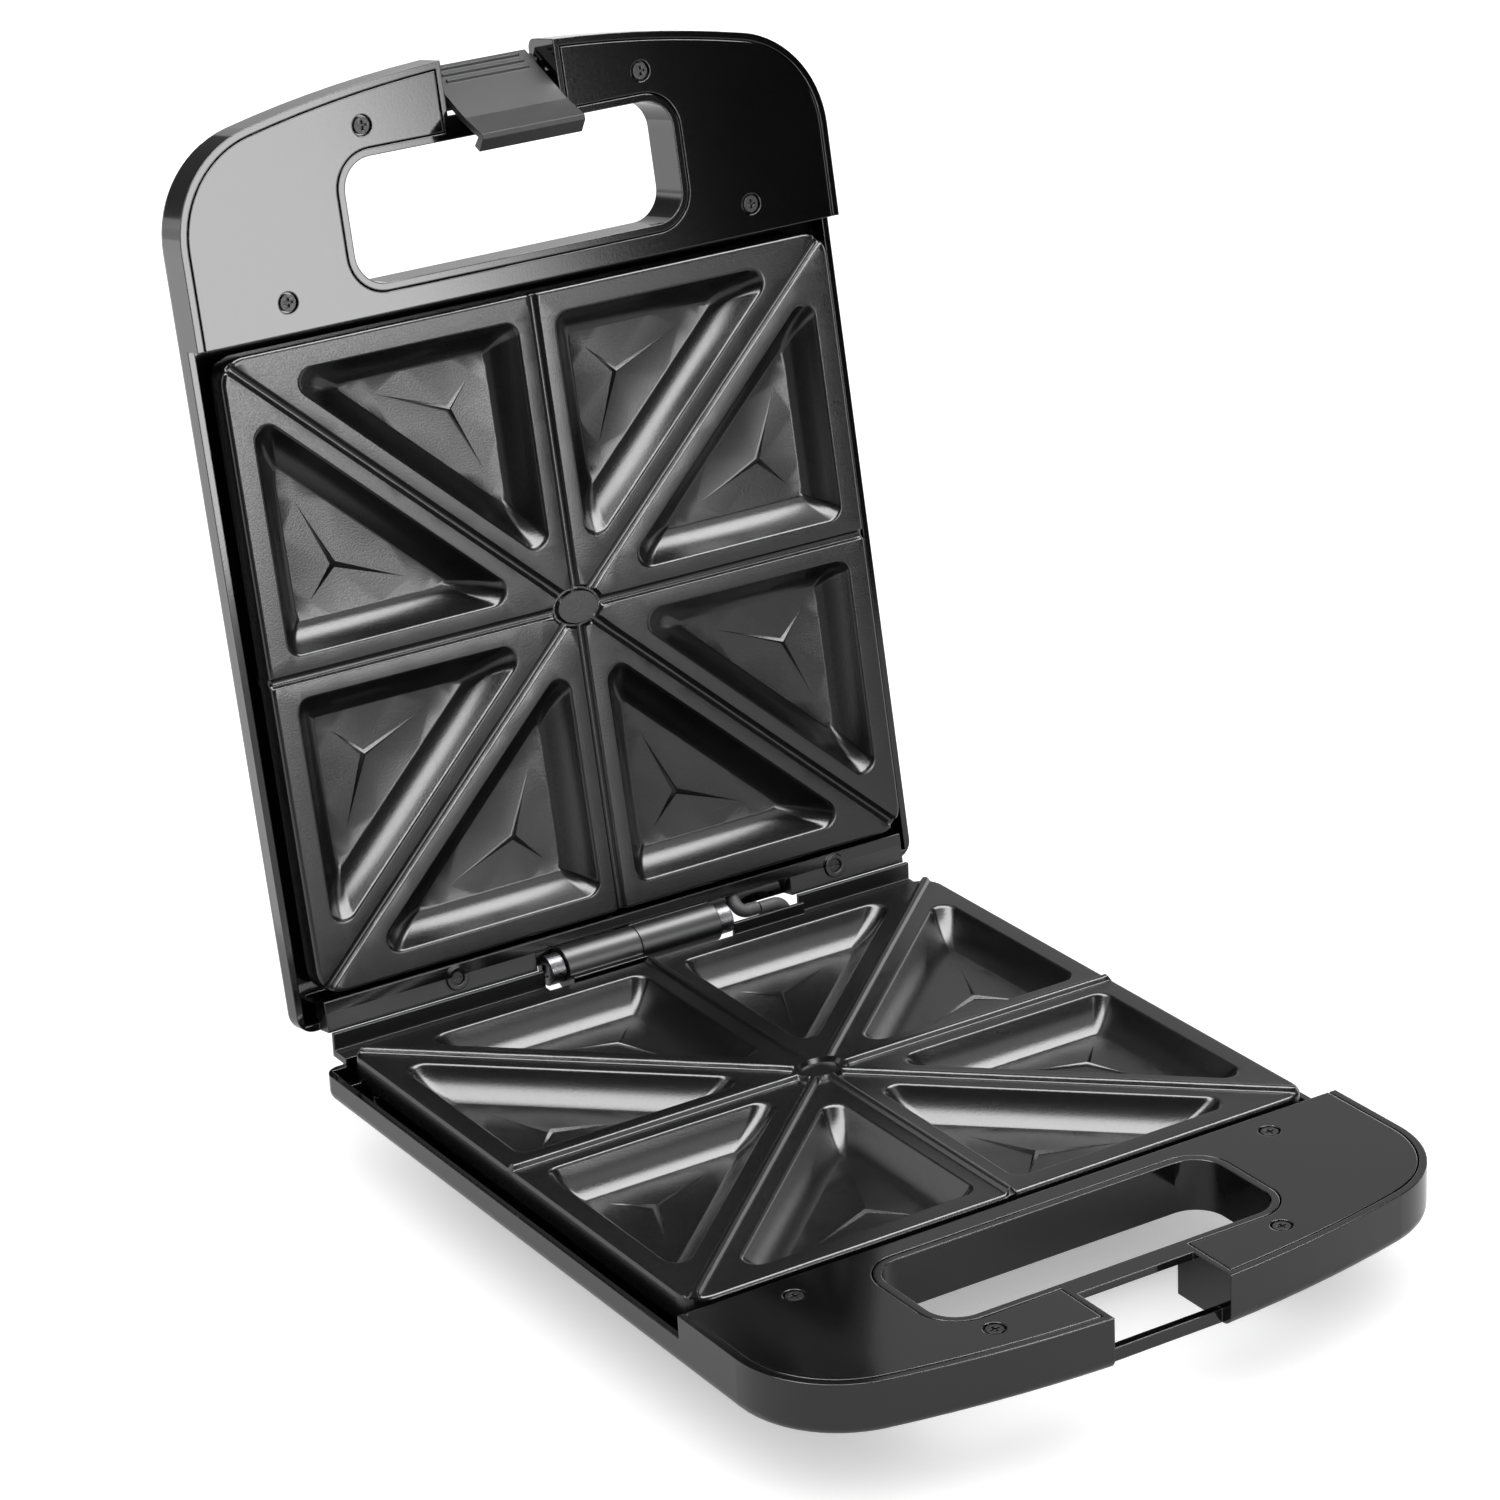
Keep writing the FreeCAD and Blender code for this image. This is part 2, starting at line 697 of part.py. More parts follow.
def block(name, x, y, low, sizes, edge=None):
    """A plain rectangular piece with rounded uprights."""
    made = body(name)
    wide, deep, high = sizes
    box = rectangle(
        made, x - wide / 2, x + wide / 2, y - deep / 2, y + deep / 2, low
    )
    pad(made, box, high)
    if edge:
        spots = [(x + i * wide / 2, y + j * deep / 2) for i in (-1, 1) for j in (-1, 1)]
        fillet(made, edge, upright_near(spots))
    return made


for side, rear, knuckle, recesses in (
    ("base", "base_rear", ("-2", "28"), ()),
    ("lid", "lid_rear", ("2.3", "35"), (("-36", "2.1"), ("35.2", "70.5"))),
):
    place = PLACES[side]
    before = len(SUBPARTS)
    casing(side, rear, knuckle, recesses)
    handle_cover(side)
    screws(f"{side}_cover_screws", COVER_SCREWS, "0.15", "9")
    plate(side)
    screws(f"{side}_plate_screws", PLATE_SCREWS, "case_deep - 0.6", "11", outward=False)
    heater_clamps(side)
    reflector(side)
    thermostat(side)
    thermal_fuse(side)
    for item in SUBPARTS[before:]:
        item.Placement = place
    heating_element(side)


# ---------------------------------------------------------------- base only

# how far out the pan's inner floor lies
PAN_FLOOR = value("case_deep + pan_high - case_wall")


def feet():
    """Four rubber feet, each with a stem through the pan and a lip inside that keeps it there."""
    made = body("feet")
    pad(made, circles(made, FEET, "stem_radius", "case_deep + pan_high - 3.4"), "4")
    pad(made, circles(made, FEET, "foot_radius", "case_deep + pan_high"), "foot_high")
    pad(made, circles(made, FEET, "4.4", "case_deep + pan_high - 4.6"), "2")
    fillet(made, "1.2", flat_at("case_deep + pan_high + foot_high"))
    return made


def cord_bush():
    """The bush where a mains lead would enter; no lead is made."""
    made = body("cord_bush")
    pad(made, circles(made, CORD_SPOT, "bush_radius", "-base_rear - 1", "XZ_Plane"), "6")
    pad(made, circles(made, CORD_SPOT, "bush_radius + 0.8", "-base_rear - 4", "XZ_Plane"), "3.9")
    pocket(made, circles(made, CORD_SPOT, "bush_bore", "-base_rear - 6", "XZ_Plane"), "20")
    return made


def terminal_block():
    """A three-way block with a wire entry and a clamp screw hole for each way."""
    made = block("terminal_block", 40, 62, PAN_FLOOR - 9.1, (30, 16, 9), 1.5)
    ways = [(str(x), "62") for x in (31, 40, 49)]
    pocket(made, circles(made, ways, "1.8", PAN_FLOOR - 10), "4")
    entries = [(str(x), str(PAN_FLOOR - 3.4)) for x in (31, 40, 49)]
    pocket(made, circles(made, entries, "1.6", "-72", "XZ_Plane"), "22")
    return made


def cord_clamp():
    """The bar that would hold a mains lead inside the casing."""
    return block("cord_clamp", 60, 80, PAN_FLOOR - 4.1, (24, 7, 4), 2)


before = len(SUBPARTS)
feet()
cord_bush()
terminal_block()
cord_clamp()
block("earth_tag", -40, 40, PAN_FLOOR - 1.1, (9, 14, 1), 2)
for item in SUBPARTS[before:]:
    item.Placement = BASE


# ---------------------------------------------------------------- lid only


def lens(name, spot):
    """A domed lamp lens set in the lid's top."""
    made = body(name)
    top = "case_deep + pan_high"
    pad(made, circles(made, [spot], "lens_radius", f"{top} - 4"), "5.2")
    pad(made, circles(made, [spot], "lens_radius + 1.2", f"{top} - 4.2"), "1.6")
    fillet(made, "1.1", flat_at(f"{top} + 1.2"))
    pocket(made, circles(made, [spot], "2.6", f"{top} - 6"), "5")
    return made


def lamp(name, spot):
    """A neon lamp behind its lens."""
    made = body(name)
    top = "case_deep + pan_high"
    pad(made, circles(made, [spot], "2.1", f"{top} - 11"), "9.5")
    fillet(made, "1.6", flat_at(f"{top} - 1.5"))
    return made


def strip_screws():
    """The two screws down in the rings of the lid's rear strip."""
    made = body("lid_strip_screws")
    pad(made, circles(made, STRIP_SCREWS, "2.35", "strip_drop - 0.2"), "0.75")
    pad(made, circles(made, STRIP_SCREWS, "shank_radius", "strip_drop + 0.5"), "6")
    slot = sketch(made, height="strip_drop - 0.2")
    for x, y in STRIP_SCREWS:
        add_loop(slot, [(f"{x} - 1.5", f"{y} - 0.35"), (f"{x} + 1.5", f"{y} - 0.35"),
                        (f"{x} + 1.5", f"{y} + 0.35"), (f"{x} - 1.5", f"{y} + 0.35")])
    pocket(made, slot, "0.5")
    return made


before = len(SUBPARTS)
for name, spot in (("power", LAMPS[0]), ("ready", LAMPS[1])):
    lens(f"{name}_lens", spot)
    lamp(f"{name}_lamp", spot)
strip_screws()
for item in SUBPARTS[before:]:
    item.Placement = LID


# ---------------------------------------------------------------- hinge


def rod(name, low, high, radius, bore=None):
    """A round piece on the hinge axis, from x = low to x = high in the row frame."""
    made = body(name)
    pad(made, circles(made, [("0", "0")], radius, low, "YZ_Plane"), high - low)
    if bore:
        pocket(made, circles(made, [("0", "0")], bore, low - 1, "YZ_Plane"), high - low + 2)
    made.Placement = FreeCAD.Placement(V(0, AXIS_Y, AXIS_Z), FreeCAD.Rotation())
    return made


rod("hinge_pin", -33, 40, "pin_radius")
rod("hinge_cap_left", -34, -28.4, "cap_radius", "pin_radius + 0.02")
rod("hinge_cap_right", 35.4, 41, "cap_radius", "pin_radius + 0.02")

# the sleeved lead leaves the base beside the hinge, and meets the lid's on the hinge axis
SLEEVE_RADIUS = value("sleeve_radius")
BASE_SLEEVE = [(-55, AXIS_Y, 0.0), (-66, AXIS_Y, 0.0), (-66, AXIS_Y, 13.0), (-66, 110, 13.0)]
LID_SLEEVE = [(54.5, AXIS_Y, 0.0), (47, AXIS_Y, 0.0), (47, 119.1, 4.0)]
SUBPARTS.append(tube("base_lead_sleeve", BASE_SLEEVE, SLEEVE_RADIUS, 5, BASE))
SUBPARTS.append(tube("lid_lead_sleeve", LID_SLEEVE, SLEEVE_RADIUS, 3.5, LID))


# ---------------------------------------------------------------- leads inside the halves

LEADS = {
    "base_wiring": (
        BASE,
        [(31, 53, 32.1), (31, 20, 32.1), (8, 12, 32.1), (5.2, 4.5, 30)],
    ),
    "lid_wiring": (
        LID,
        [(-14, -64, 29), (-14, -30, 29), (-8, -12, 31), (-5.2, -4.5, 30)],
    ),
}
for name, (place, route) in LEADS.items():
    SUBPARTS.append(tube(name, route, 1.0, 4, place))


# ---------------------------------------------------------------- latch

LATCH_TILT = 33.0  # how far the hanging latch leans towards the finger hole with the lid open
LATCH_AT = V(0, -value("latch_y"), value("latch_z"))
TILTED = FreeCAD.Rotation(V(1, 0, 0), LATCH_TILT)
LATCH_PLACE = LID * FreeCAD.Placement(LATCH_AT, TILTED)


def latch():
    """A ribbed plate on a barrel, ending in a lip that hooks under the base's rail."""
    made = body("latch")
    outer = [
        ("-latch_barrel", "0"), ("-latch_barrel", "4.2"), ("0", "4.2"), ("-0.25", "2.5"), ("-0.25", "-24"),
        ("-1.5", "-35.6"), ("2.9", "-34.4"), ("2.9", "-37.9"), ("-2.6", "-38.6"),
        ("-4", "-37.5"), ("-2.75", "-26"),
    ]
    low = "-latch_half"
    pad(made, loop(made, outer, low, role="YZ_Plane"), "2 * latch_half")
    pad(made, circles(made, [("0", "0")], "latch_barrel", low, "YZ_Plane"), "2 * latch_half")
    ribs = sketch(made, "YZ_Plane", f"{low} + 4")
    for top in (2.6, -1.0, -4.6):
        add_loop(ribs, [(-2.6, top), (-3.7, top - 0.5), (-3.7, top - 1.3), (-2.6, top - 1.8)])
    pad(made, ribs, "2 * latch_half - 8")
    bore = circles(made, [("0", "0")], "latch_pin_radius + running_gap", f"{low} - 1", "YZ_Plane")
    pocket(made, bore, "2 * latch_half + 2")
    return made


def latch_pin():
    made = body("latch_pin")
    low = "-notch_half - 4"
    pad(made, circles(made, [("0", "0")], "latch_pin_radius", low, "YZ_Plane"), "2 * notch_half + 8")
    return made


def latch_cradle():
    """A steel stirrup on the latch's pin: two ears and a web that the latch lies against."""
    made = body("latch_cradle")
    wide = "(latch_half + 1.5)"
    web = rectangle(made, f"-{wide}", wide, "0.7", "2.7", "-14")
    pad(made, web, "9")
    for low in (f"-{wide}", "latch_half + 0.3"):
        ear = loop(
            made,
            [("-2.2", "-2.2"), ("0.8", "-5.2"), ("0.8", "-14"), ("2.7", "-14"), ("2.7", "-3"),
             ("2.2", "2.2"), ("-2.2", "2.2")],
            low,
            role="YZ_Plane",
        )
        pad(made, ear, "1.2")
    hole = circles(
        made, [("0", "0")], "latch_pin_radius + 0.02", "-notch_half", role="YZ_Plane"
    )
    pocket(made, hole, "2 * notch_half")
    return made


for item in (latch(), latch_pin(), latch_cradle()):
    item.Placement = LATCH_PLACE


# ---------------------------------------------------------------- check and write

doc.recompute()
for item in doc.Objects:
    if {"Invalid", "Error"} & set(item.State):
        raise RuntimeError(f"{item.Name} failed: {item.State}")
os.makedirs("parts", exist_ok=True)
for item in SUBPARTS:
    if item.Shape.isNull() or not item.Shape.isValid():
        raise RuntimeError(f"{item.Label} has no valid shape")
for item in SUBPARTS:
    item.Shape.exportStep(f"parts/{item.Label}.step")
    print(f"{item.Label:24s} {len(item.Shape.Solids)} solids {item.Shape.Volume / 1000:9.2f} cm3")
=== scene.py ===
"""The looks of an open sandwich toaster around its CAD frame: finishes, pressed plates and a studio."""

import json
import math

import bmesh
import bpy
from mathutils import Matrix, Vector
from mathutils.geometry import delaunay_2d_cdt


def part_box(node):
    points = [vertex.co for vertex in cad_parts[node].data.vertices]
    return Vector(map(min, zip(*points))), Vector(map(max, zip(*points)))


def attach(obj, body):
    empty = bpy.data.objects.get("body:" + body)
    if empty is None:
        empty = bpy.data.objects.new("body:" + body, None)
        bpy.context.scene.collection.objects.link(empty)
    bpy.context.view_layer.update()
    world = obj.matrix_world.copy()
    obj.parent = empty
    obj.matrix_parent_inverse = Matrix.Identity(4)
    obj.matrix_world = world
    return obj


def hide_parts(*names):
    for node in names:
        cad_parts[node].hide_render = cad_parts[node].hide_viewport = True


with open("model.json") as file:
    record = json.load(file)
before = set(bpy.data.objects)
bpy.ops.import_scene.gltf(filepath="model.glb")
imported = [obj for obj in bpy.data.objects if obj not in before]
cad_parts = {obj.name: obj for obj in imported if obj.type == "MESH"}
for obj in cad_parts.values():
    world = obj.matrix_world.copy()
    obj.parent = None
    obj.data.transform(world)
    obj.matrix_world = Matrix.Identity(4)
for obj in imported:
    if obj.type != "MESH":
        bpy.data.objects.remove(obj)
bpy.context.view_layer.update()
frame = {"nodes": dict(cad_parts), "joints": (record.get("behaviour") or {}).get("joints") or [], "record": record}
nodes = frame["nodes"]
MM = 0.001

# ---------------------------------------------------------------- places, from the frame

plate_low, plate_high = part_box("base_plate")
PLATE_HALF_X = (plate_high.x - plate_low.x) / 2 / MM
PLATE_HALF_Y = (plate_high.y - plate_low.y) / 2 / MM
CENTRE = (plate_low + plate_high) / 2
TOP = plate_high.z

hinge = next(joint for joint in frame["joints"] if joint["name"] == "lid_hinge")
AXIS = Vector(hinge["pos_m"])
LID_OPEN = math.radians(hinge["range_deg"][1])
MEETING_GAP = 2 * (AXIS.z - TOP)
BARREL_RADIUS = 0.0072
BARREL_ROUGHNESS = 0.36
# the lid half stands turned over and swung open, and the base half lies as it is
SWUNG = Matrix.Translation(AXIS) @ Matrix.Rotation(-LID_OPEN, 4, "X") @ Matrix.Translation(-AXIS)
SHUT_AT = Matrix.Translation((CENTRE.x, CENTRE.y, TOP + MEETING_GAP))
LID_PLACE = SWUNG @ SHUT_AT @ Matrix.Rotation(math.pi, 4, "Y")
BASE_PLACE = Matrix.Translation((CENTRE.x, CENTRE.y, TOP))


# ---------------------------------------------------------------- materials


def new_material(name):
    made = bpy.data.materials.new(name)
    made.use_nodes = True
    return made, made.node_tree.nodes, made.node_tree.links


def noise(tree_nodes, links, scale, detail):
    """Noise in the object's own space, scale in features to a metre."""
    place = tree_nodes.new("ShaderNodeTexCoord")
    made = tree_nodes.new("ShaderNodeTexNoise")
    made.inputs["Scale"].default_value = scale
    made.inputs["Detail"].default_value = detail
    links.new(place.outputs["Object"], made.inputs["Vector"])
    return made.outputs["Fac"]


def ramp(tree_nodes, links, source, low, high, start=0.35, end=0.65):
    """A grey or colour ramp between low and high."""
    made = tree_nodes.new("ShaderNodeValToRGB")
    made.color_ramp.elements[0].position = start
    made.color_ramp.elements[1].position = end
    for element, value in zip(made.color_ramp.elements, (low, high)):
        colour = value if isinstance(value, tuple) else (value,) * 3
        element.color = (*colour[:3], 1)
    links.new(source, made.inputs["Fac"])
    return made.outputs["Color"]


def surface(name, dark, light, roughness, grain, bump, blotch=22.0, metallic=0.0, specular=0.5, edge=0.0):
    """A moulded or coated finish: slow colour changes, finely varied roughness, a fine bump, soft edges."""
    made, tree, links = new_material(name)
    shader = tree["Principled BSDF"]
    slow = noise(tree, links, blotch, 4.0)
    fine = noise(tree, links, grain, 2.0)
    links.new(ramp(tree, links, slow, dark, light), shader.inputs["Base Color"])
    links.new(ramp(tree, links, fine, roughness[0], roughness[1]), shader.inputs["Roughness"])
    dent = tree.new("ShaderNodeBump")
    dent.inputs["Strength"].default_value = bump
    dent.inputs["Distance"].default_value = 0.0002
    links.new(fine, dent.inputs["Height"])
    if edge:
        soft = tree.new("ShaderNodeBevel")
        soft.samples = 6
        soft.inputs["Radius"].default_value = edge
        links.new(soft.outputs["Normal"], dent.inputs["Normal"])
    links.new(dent.outputs["Normal"], shader.inputs["Normal"])
    shader.inputs["Metallic"].default_value = metallic
    shader.inputs["Specular IOR Level"].default_value = specular
    return made


def satin_barrels(material):
    """Makes the finish rougher on the hinge's barrels, within their radius of the axis."""
    tree, links = material.node_tree.nodes, material.node_tree.links
    shader = tree["Principled BSDF"]
    place = tree.new("ShaderNodeTexCoord")
    flat = tree.new("ShaderNodeVectorMath")
    flat.operation = "MULTIPLY"
    flat.inputs[1].default_value = (0, 1, 1)
    far = tree.new("ShaderNodeVectorMath")
    far.operation = "DISTANCE"
    far.inputs[1].default_value = (0, AXIS.y, AXIS.z)
    near = tree.new("ShaderNodeMath")
    near.operation = "LESS_THAN"
    near.inputs[1].default_value = BARREL_RADIUS
    mix = tree.new("ShaderNodeMix")
    mix.inputs["B"].default_value = BARREL_ROUGHNESS
    links.new(place.outputs["Object"], flat.inputs[0])
    links.new(flat.outputs["Vector"], far.inputs[0])
    links.new(far.outputs["Value"], near.inputs[0])
    links.new(near.outputs["Value"], mix.inputs["Factor"])
    links.new(shader.inputs["Roughness"].links[0].from_socket, mix.inputs["A"])
    links.new(mix.outputs["Result"], shader.inputs["Roughness"])


def lens_material(name, colour):
    """A smooth, partly clear plastic, 30% lighter in places."""
    made = surface(name, colour, tuple(c * 1.3 for c in colour), (0.05, 0.12), 900.0, 0.1)
    shader = made.node_tree.nodes["Principled BSDF"]
    shader.inputs["Transmission Weight"].default_value = 0.6
    return made


MATERIALS = {
    "gloss_black": surface(
        "gloss_black", (0.0012, 0.0012, 0.0014), (0.0022, 0.0022, 0.0025), (0.07, 0.10), 1400.0, 0.03,
        edge=0.0006,
    ),
    "latch_satin": surface(
        "latch_satin", (0.012, 0.012, 0.013), (0.017, 0.017, 0.018), (0.36, 0.46), 2600.0, 0.2,
        specular=0.35, edge=0.0005,
    ),
    "nonstick": surface(
        "nonstick", (0.0025, 0.0025, 0.003), (0.005, 0.005, 0.0055), (0.19, 0.27), 1600.0, 0.14, specular=0.42
    ),
    "steel": surface("steel", (0.32, 0.32, 0.33), (0.5, 0.5, 0.51), (0.22, 0.4), 1500.0, 0.2, metallic=1.0),
    "screw_steel": surface(
        "screw_steel", (0.004, 0.004, 0.005), (0.012, 0.012, 0.013), (0.25, 0.4), 1500.0, 0.3,
        specular=0.35, edge=0.0003,
    ),
    "cap_steel": surface(
        "cap_steel", (0.05, 0.05, 0.052), (0.11, 0.11, 0.115), (0.26, 0.4), 1500.0, 0.3,
        metallic=1.0, edge=0.0006,
    ),
    "element_sheath": surface(
        "element_sheath", (0.07, 0.06, 0.05), (0.2, 0.16, 0.12), (0.35, 0.55), 1200.0, 0.3, metallic=1.0
    ),
    "bright_tin": surface(
        "bright_tin", (0.6, 0.61, 0.62), (0.75, 0.76, 0.77), (0.2, 0.32), 900.0, 0.2, metallic=1.0
    ),
    "ceramic": surface("ceramic", (0.6, 0.56, 0.5), (0.75, 0.71, 0.64), (0.6, 0.8), 1500.0, 0.4),
    "black_rubber": surface(
        "black_rubber", (0.012, 0.012, 0.012), (0.022, 0.022, 0.022), (0.6, 0.8), 2200.0, 0.5
    ),
    "wire_sleeving": surface("wire_sleeving", (0.6, 0.57, 0.5), (0.8, 0.77, 0.7), (0.6, 0.8), 2500.0, 0.8),
    "white_nylon": surface("white_nylon", (0.66, 0.66, 0.61), (0.78, 0.78, 0.74), (0.35, 0.5), 1200.0, 0.2),
    "brass": surface("brass", (0.5, 0.36, 0.14), (0.72, 0.55, 0.27), (0.2, 0.4), 1500.0, 0.2, metallic=1.0),
    "red_lens": lens_material("red_lens", (0.5, 0.02, 0.012)),
    "green_lens": lens_material("green_lens", (0.02, 0.35, 0.05)),
    "lamp_glass": lens_material("lamp_glass", (0.6, 0.5, 0.42)),
}


def coat_nodes():
    """Each CAD node gets the finish of its slot; the screws and hinge caps are darkened steel."""
    for row in frame["record"]["subparts"]:
        node = row["node"]
        finish = row["material_slot"]
        if "screws" in node:
            finish = "screw_steel"
        elif "hinge" in node or node == "latch_cradle":
            finish = "cap_steel"
        mesh = nodes[node].data
        mesh.materials.clear()
        mesh.materials.append(MATERIALS[finish])


satin_barrels(MATERIALS["gloss_black"])
coat_nodes()


# ---------------------------------------------------------------- plates

# plate sizes in millimetres; a profile's rows are (distance across, share of the height)
SPOKE_PROFILE = ((0.0, 1.0), (0.7, 1.0), (1.2, 0.75), (1.7, 0.2), (2.1, 0.0))
SPOKE_HIGH = 1.6
# the hub is a flat oval with a ring round it as high or deep as the spokes
HUB_RADIUS = 8.6
HUB_FLATTEN = 1.38
HUB_RINGS = ((HUB_RADIUS - 0.9, 0.0), (HUB_RADIUS - 0.5, 0.4), (HUB_RADIUS, 1.0))
MOAT_RINGS = ((HUB_RADIUS + 0.9, 1.0), (HUB_RADIUS + 1.4, 0.6), (HUB_RADIUS + 2.0, 0.0))
RIM_MARGIN = 7.7
BAND = 6.8
CORNER = 9.0
# the rounded rim: (how far out, how far down)
EDGE = ((0.0, 0.0), (0.5, 0.12), (0.95, 0.42), (1.25, 0.85), (1.4, 1.4), (1.4, 9.0))
POCKET_DEEP = 10.2
# how far in from its lip, and how deep there
WALL = ((0.0, 0.0), (0.3, 0.05), (0.6, 0.2), (0.9, 0.5), (1.15, 0.95), (2.3, 3.0), (3.5, 4.75),
        (4.7, 6.2), (5.9, 7.4), (7.1, 8.4), (8.3, 9.2), (9.5, 9.83), (10.4, POCKET_DEEP))
LIP_RADIUS = 5.5
LIP_RADIUS_LOSS = 0.45
SHARPEST_CORNER = 0.8
STAR_HIGH = 1.0
STAR_WAIST = 1.25
STAR_REACH = 0.66
SLIVER = 0.001
PRESSING_THICK = 0.0012
CREASE_ANGLE = math.radians(42)


def inset_corner(before, corner, after, offset_in, offset_out, middle):
    """Where two sides of a triangle meet once each is moved inward by its own offset."""
    lines = []
    for start, end, offset in ((before, corner, offset_in), (corner, after, offset_out)):
        along = (end - start).normalized()
        inward = Vector((-along.y, along.x))
        if inward.dot(middle - start) < 0:
            inward = -inward
        lines.append((start + inward * offset, along))
    (a, u), (b, v) = lines
    t = ((b - a).x * v.y - (b - a).y * v.x) / (u.x * v.y - u.y * v.x)
    return a + u * t


def inset(triangle, offsets):
    """The triangle with side i, from corner i to the next, moved inward by offsets[i]."""
    middle = sum(triangle, Vector((0, 0))) / 3
    return [
        inset_corner(triangle[i - 1], triangle[i], triangle[(i + 1) % 3], offsets[i - 1], offsets[i], middle)
        for i in range(3)
    ]


def rounded(triangle, radius, turns=8, runs=14):
    """Points round a triangle with corners of the given radius: arcs, and runs along the sides."""
    points = []
    arcs = []
    for i in range(3):
        corner = triangle[i]
        arrive = (triangle[i - 1] - corner).normalized()
        leave = (triangle[(i + 1) % 3] - corner).normalized()
        half = arrive.angle(leave) / 2
        centre = corner + (arrive + leave).normalized() * (radius / math.sin(half))
        start = corner + arrive * (radius / math.tan(half))
        end = corner + leave * (radius / math.tan(half))
        a, b = start - centre, end - centre
        sweep = math.pi - 2 * half
        turn = 1 if a.x * b.y - a.y * b.x > 0 else -1
        arcs.append([centre + Matrix.Rotation(turn * sweep * k / turns, 2) @ a for k in range(turns + 1)])
    for i in range(3):
        points += arcs[i]
        start, end = arcs[i][-1], arcs[(i + 1) % 3][0]
        points += [start.lerp(end, k / runs) for k in range(1, runs)]
    return points


def sector_triangles():
    """The eight triangles between the cross and the diagonals, from the hub round anticlockwise."""
    half_x, half_y = PLATE_HALF_X, PLATE_HALF_Y
    hub = Vector((0, 0))
    for sx in (1, -1):
        for sy in (1, -1):
            side, end = Vector((sx * half_x, 0)), Vector((0, sy * half_y))
            corner = side + end
            # corners run anticlockwise, and the middle side is always the one on the rim
            yield [hub, side, corner] if sx * sy > 0 else [hub, corner, side]
            yield [hub, corner, end] if sx * sy > 0 else [hub, end, corner]


def spoke_distance(point):
    """How far a point of the plate is from the nearest spoke's middle line."""
    length = math.hypot(PLATE_HALF_X, PLATE_HALF_Y)
    rising, falling = point.x * PLATE_HALF_Y, point.y * PLATE_HALF_X
    diagonals = (abs(rising - falling) / length, abs(rising + falling) / length)
    return min(abs(point.x), abs(point.y), *diagonals)


def stepped(stations, at):
    """Straight interpolation in a list of (place, value), held at its ends."""
    if at <= stations[0][0]:
        return stations[0][1]
    for (a, low), (b, high) in zip(stations, stations[1:]):
        if at <= b:
            return low + (high - low) * (at - a) / (b - a)
    return stations[-1][1]


def spoke_height(point):
    """The height of the spokes and of the ring round the hub at a point of the plate."""
    outward = math.hypot(point.x, point.y * HUB_FLATTEN)
    raised = max(stepped(SPOKE_PROFILE, spoke_distance(point)), stepped(MOAT_RINGS, outward))
    return SPOKE_HIGH * raised * stepped(HUB_RINGS, outward)


def rim_points(inward, per_corner=10, step=6.0):
    """The plate's outline moved inward, as points."""
    x, y, radius = PLATE_HALF_X - inward, PLATE_HALF_Y - inward, max(CORNER - inward, 1.0)
    corners = [(x - radius, y - radius, 0), (-x + radius, y - radius, 90),
               (-x + radius, -y + radius, 180), (x - radius, -y + radius, 270)]
    points = []
    for cx, cy, start in corners:
        for k in range(per_corner + 1):
            angle = math.radians(start + 90 * k / per_corner)
            points.append(Vector((cx + radius * math.cos(angle), cy + radius * math.sin(angle))))
    filled = []
    for a, b in zip(points, points[1:] + points[:1]):
        count = max(1, round((b - a).length / step))
        filled += [a.lerp(b, k / count) for k in range(count)]
    return filled


def inside(point, polygon):
    """Whether a point is inside a polygon: a ray from it crosses the outline an odd number of times."""
    result = False
    for a, b in zip(polygon, polygon[1:] + polygon[:1]):
        if (a.y > point.y) != (b.y > point.y):
            if point.x < a.x + (b.x - a.x) * (point.y - a.y) / (b.y - a.y):
                result = not result
    return result


def triangulated(loops, lines):
    """Flat triangles over closed loops and open lines, as (points, faces)."""
    points, edges = [], []
    for chain, closed in [(c, True) for c in loops] + [(c, False) for c in lines]:
        first = len(points)
        points += chain
        edges += [(first + i, first + i + 1) for i in range(len(chain) - 1)]
        if closed:
            edges.append((first + len(chain) - 1, first))
    result = delaunay_2d_cdt(points, edges, [], 0, 1e-4)
    return result[0], result[2]


def add_surface(mesh, points, faces, height, keep, smooth=True):
    """Adds those flat triangles that keep(centre) wants, raised to height(point)."""
    made = {}
    for face in faces:
        a, b, c = corners = [points[i] for i in face]
        sliver = abs((b - a).cross(c - a)) < SLIVER
        if sliver or not keep((a + b + c) / 3):
            continue
        for i in face:
            if i not in made:
                made[i] = mesh.verts.new((points[i].x, points[i].y, height(points[i])))
        mesh.faces.new([made[i] for i in face]).smooth = smooth


def add_rings(mesh, rings):
    """Quads between rings, each a list of the same number of 3-D points."""
    rows = [[mesh.verts.new(point) for point in ring] for ring in rings]
    for low, high in zip(rows, rows[1:]):
        for i in range(len(low)):
            j = (i + 1) % len(low)
            mesh.faces.new((low[i], low[j], high[j], high[i])).smooth = True


